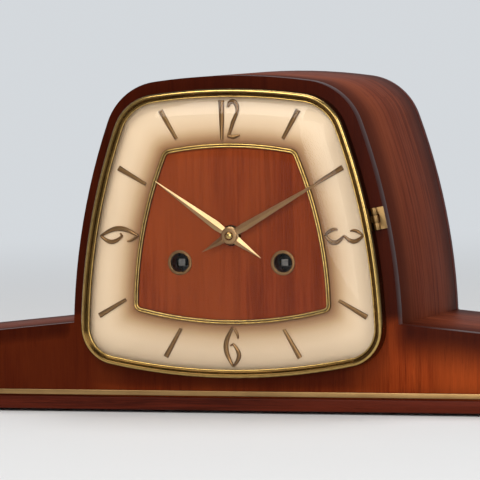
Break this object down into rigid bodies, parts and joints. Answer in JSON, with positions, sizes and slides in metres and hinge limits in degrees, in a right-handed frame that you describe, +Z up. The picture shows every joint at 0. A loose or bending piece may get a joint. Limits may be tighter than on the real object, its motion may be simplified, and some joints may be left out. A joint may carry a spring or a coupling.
{
  "type": "mantel clock",
  "caption": "Wooden mantel clock with low wings, bowed four-sided glazed door, dial, hands, striking movement with pendulum, and back door.",
  "frame": {"origin": "middle of the bounding box's bottom, on the surface that the pads stand on", "axes": "+X to the right seen from the front, along the length; +Y from the dial towards the back door; +Z up"},
  "size_m": [0.46, 0.147, 0.1755],
  "materials": {
    "veneer": "satin reddish mahogany veneer, straight grain, shaded dark at the edges",
    "dark_wood": "dark stained satin wood",
    "inner_wood": "unfinished pale wood",
    "dial_veneer": "satin veneer with fine vertical grain",
    "cream": "cream paint, shaded brown towards the inner frame",
    "brass": "polished and lacquered",
    "plate_brass": "brushed",
    "antique_brass": "darkened bronze-brown, satin",
    "hand_brass": "brushed, faceted",
    "steel": "bright steel",
    "dark_iron": "black painted iron",
    "glass": "clear domed glass",
    "felt": "dark felt"
  },
  "bodies": {
    "case": {"front_board": "veneer", "hood": "veneer", "wing_top_left": "veneer", "wing_top_right": "veneer", "wing_end_left": "veneer", "wing_end_right": "veneer", "base_board": "dark_wood", "back_board": "dark_wood", "glue_blocks": "inner_wood", "brass_strip": "brass", "felt_pads": "felt", "door_hinge_leaves": "brass", "door_hinge_pins": "brass", "bezel_hinge_leaf": "brass", "bezel_hinge_pin": "brass", "dial_plate": "cream", "dial_frame": "brass", "dial_veneer": "dial_veneer", "numerals": "antique_brass", "hour_markers": "antique_brass", "winding_grommets": "antique_brass", "front_plate": "plate_brass", "back_plate": "plate_brass", "pillars": "plate_brass", "plate_nuts": "steel", "mounting_brackets": "steel", "clicks": "steel", "hammer_shaft": "steel", "gong_block": "dark_iron", "gong_rods": "steel"},
    "glazed_door": {"bezel": "brass", "bezel_glass": "glass", "glass_ring": "steel", "bezel_hinge_flap": "brass"},
    "back_door": {"back_door": "dark_wood", "door_hinge_flaps": "brass", "door_knob": "brass"},
    "minute_works": {"minute_hand": "hand_brass", "hand_nut": "brass", "cannon_pinion": "plate_brass", "centre_wheel": "plate_brass"},
    "hour_works": {"hour_hand": "hand_brass", "hour_wheel": "plate_brass"},
    "minute_wheel": {"minute_wheel": "plate_brass"},
    "second_wheel": {"second_wheel": "plate_brass"},
    "third_wheel": {"third_wheel": "plate_brass"},
    "escape_wheel": {"escape_wheel": "plate_brass"},
    "going_barrel": {"going_barrel": "plate_brass"},
    "going_arbor": {"going_winding_arbor": "steel"},
    "strike_arbor": {"strike_winding_arbor": "steel"},
    "strike_barrel": {"strike_barrel": "plate_brass"},
    "strike_second_wheel": {"strike_second_wheel": "plate_brass"},
    "pin_wheel": {"pin_wheel": "plate_brass"},
    "fly": {"fly": "plate_brass"},
    "hammer_low": {"hammer_low": "steel"},
    "hammer_high": {"hammer_high": "steel"},
    "pendulum": {"anchor": "steel", "pendulum_rod": "steel", "pendulum_bob": "brass"},
    "rating_nut": {"rating_nut": "brass"}
  },
  "joints": [
    {"name": "glazed_door_hinge", "type": "hinge", "parent": "case", "child": "glazed_door", "pos_m": [0.07745, -0.06272, 0.10137], "axis": [-0.1969, 0, 0.9804], "range_deg": [0, 110]},
    {"name": "back_door_hinge", "type": "hinge", "parent": "case", "child": "back_door", "pos_m": [-0.0617, 0.05893, 0.0742], "axis": [0, 0, 1], "range_deg": [0, 115]},
    {"name": "minute_turn", "type": "hinge", "parent": "case", "child": "minute_works", "pos_m": [0, -0.04082, 0.0929], "axis": [0, -1, 0], "continuous": true},
    {"name": "hour_turn", "type": "hinge", "parent": "case", "child": "hour_works", "pos_m": [0, -0.04082, 0.0929], "axis": [0, -1, 0], "continuous": true},
    {"name": "minute_wheel_turn", "type": "hinge", "parent": "case", "child": "minute_wheel", "pos_m": [-0.01097, -0.04082, 0.08779], "axis": [0, -1, 0], "continuous": true},
    {"name": "second_wheel_turn", "type": "hinge", "parent": "case", "child": "second_wheel", "pos_m": [0.01485, -0.04082, 0.10427], "axis": [0, -1, 0], "continuous": true},
    {"name": "third_wheel_turn", "type": "hinge", "parent": "case", "child": "third_wheel", "pos_m": [-0.00905, -0.04082, 0.10858], "axis": [0, -1, 0], "continuous": true},
    {"name": "escape_wheel_turn", "type": "hinge", "parent": "case", "child": "escape_wheel", "pos_m": [0.00364, -0.04082, 0.11849], "axis": [0, -1, 0], "continuous": true},
    {"name": "going_barrel_turn", "type": "hinge", "parent": "case", "child": "going_barrel", "pos_m": [0.028, -0.04082, 0.0788], "axis": [0, -1, 0], "continuous": true},
    {"name": "going_winding", "type": "hinge", "parent": "case", "child": "going_arbor", "pos_m": [0.028, -0.04082, 0.0788], "axis": [0, -1, 0], "continuous": true},
    {"name": "strike_winding", "type": "hinge", "parent": "case", "child": "strike_arbor", "pos_m": [-0.028, -0.04082, 0.0788], "axis": [0, -1, 0], "continuous": true},
    {"name": "pin_wheel_turn", "type": "hinge", "parent": "case", "child": "pin_wheel", "pos_m": [-0.02661, -0.04082, 0.11982], "axis": [0, -1, 0], "continuous": true},
    {"name": "strike_second_turn", "type": "hinge", "parent": "case", "child": "strike_second_wheel", "pos_m": [-0.03347, -0.04082, 0.10693], "axis": [0, -1, 0], "continuous": true},
    {"name": "strike_barrel_turn", "type": "hinge", "parent": "case", "child": "strike_barrel", "pos_m": [-0.028, -0.04082, 0.0788], "axis": [0, -1, 0], "continuous": true},
    {"name": "fly_turn", "type": "hinge", "parent": "case", "child": "fly", "pos_m": [-0.0144, -0.04082, 0.12687], "axis": [0, -1, 0], "continuous": true},
    {"name": "hammer_low_lift", "type": "hinge", "parent": "case", "child": "hammer_low", "pos_m": [-0.022, 0.00578, 0.0559], "axis": [0, 1, 0], "range_deg": [0, 18]},
    {"name": "hammer_high_lift", "type": "hinge", "parent": "case", "child": "hammer_high", "pos_m": [-0.022, 0.01278, 0.0559], "axis": [0, 1, 0], "range_deg": [0, 18]},
    {"name": "pendulum_swing", "type": "hinge", "parent": "case", "child": "pendulum", "pos_m": [0.00364, 0.01278, 0.13399], "axis": [0, -1, 0], "range_deg": [-3, 3]},
    {"name": "rating_turn", "type": "hinge", "parent": "pendulum", "child": "rating_nut", "pos_m": [0.00364, 0.01278, 0.03699], "axis": [0, 0, 1], "continuous": true}
  ],
  "couplings": [
    {"joint": "hour_turn", "follows": "minute_turn", "ratio": 0.083333},
    {"joint": "minute_wheel_turn", "follows": "minute_turn", "ratio": -0.33333},
    {"joint": "second_wheel_turn", "follows": "minute_turn", "ratio": -0.19231},
    {"joint": "going_barrel_turn", "follows": "minute_turn", "ratio": 0.025988},
    {"joint": "third_wheel_turn", "follows": "minute_turn", "ratio": -8},
    {"joint": "escape_wheel_turn", "follows": "minute_turn", "ratio": 56},
    {"joint": "strike_second_turn", "follows": "pin_wheel_turn", "ratio": -0.16},
    {"joint": "strike_barrel_turn", "follows": "pin_wheel_turn", "ratio": 0.021622},
    {"joint": "fly_turn", "follows": "pin_wheel_turn", "ratio": -6}
  ]
}
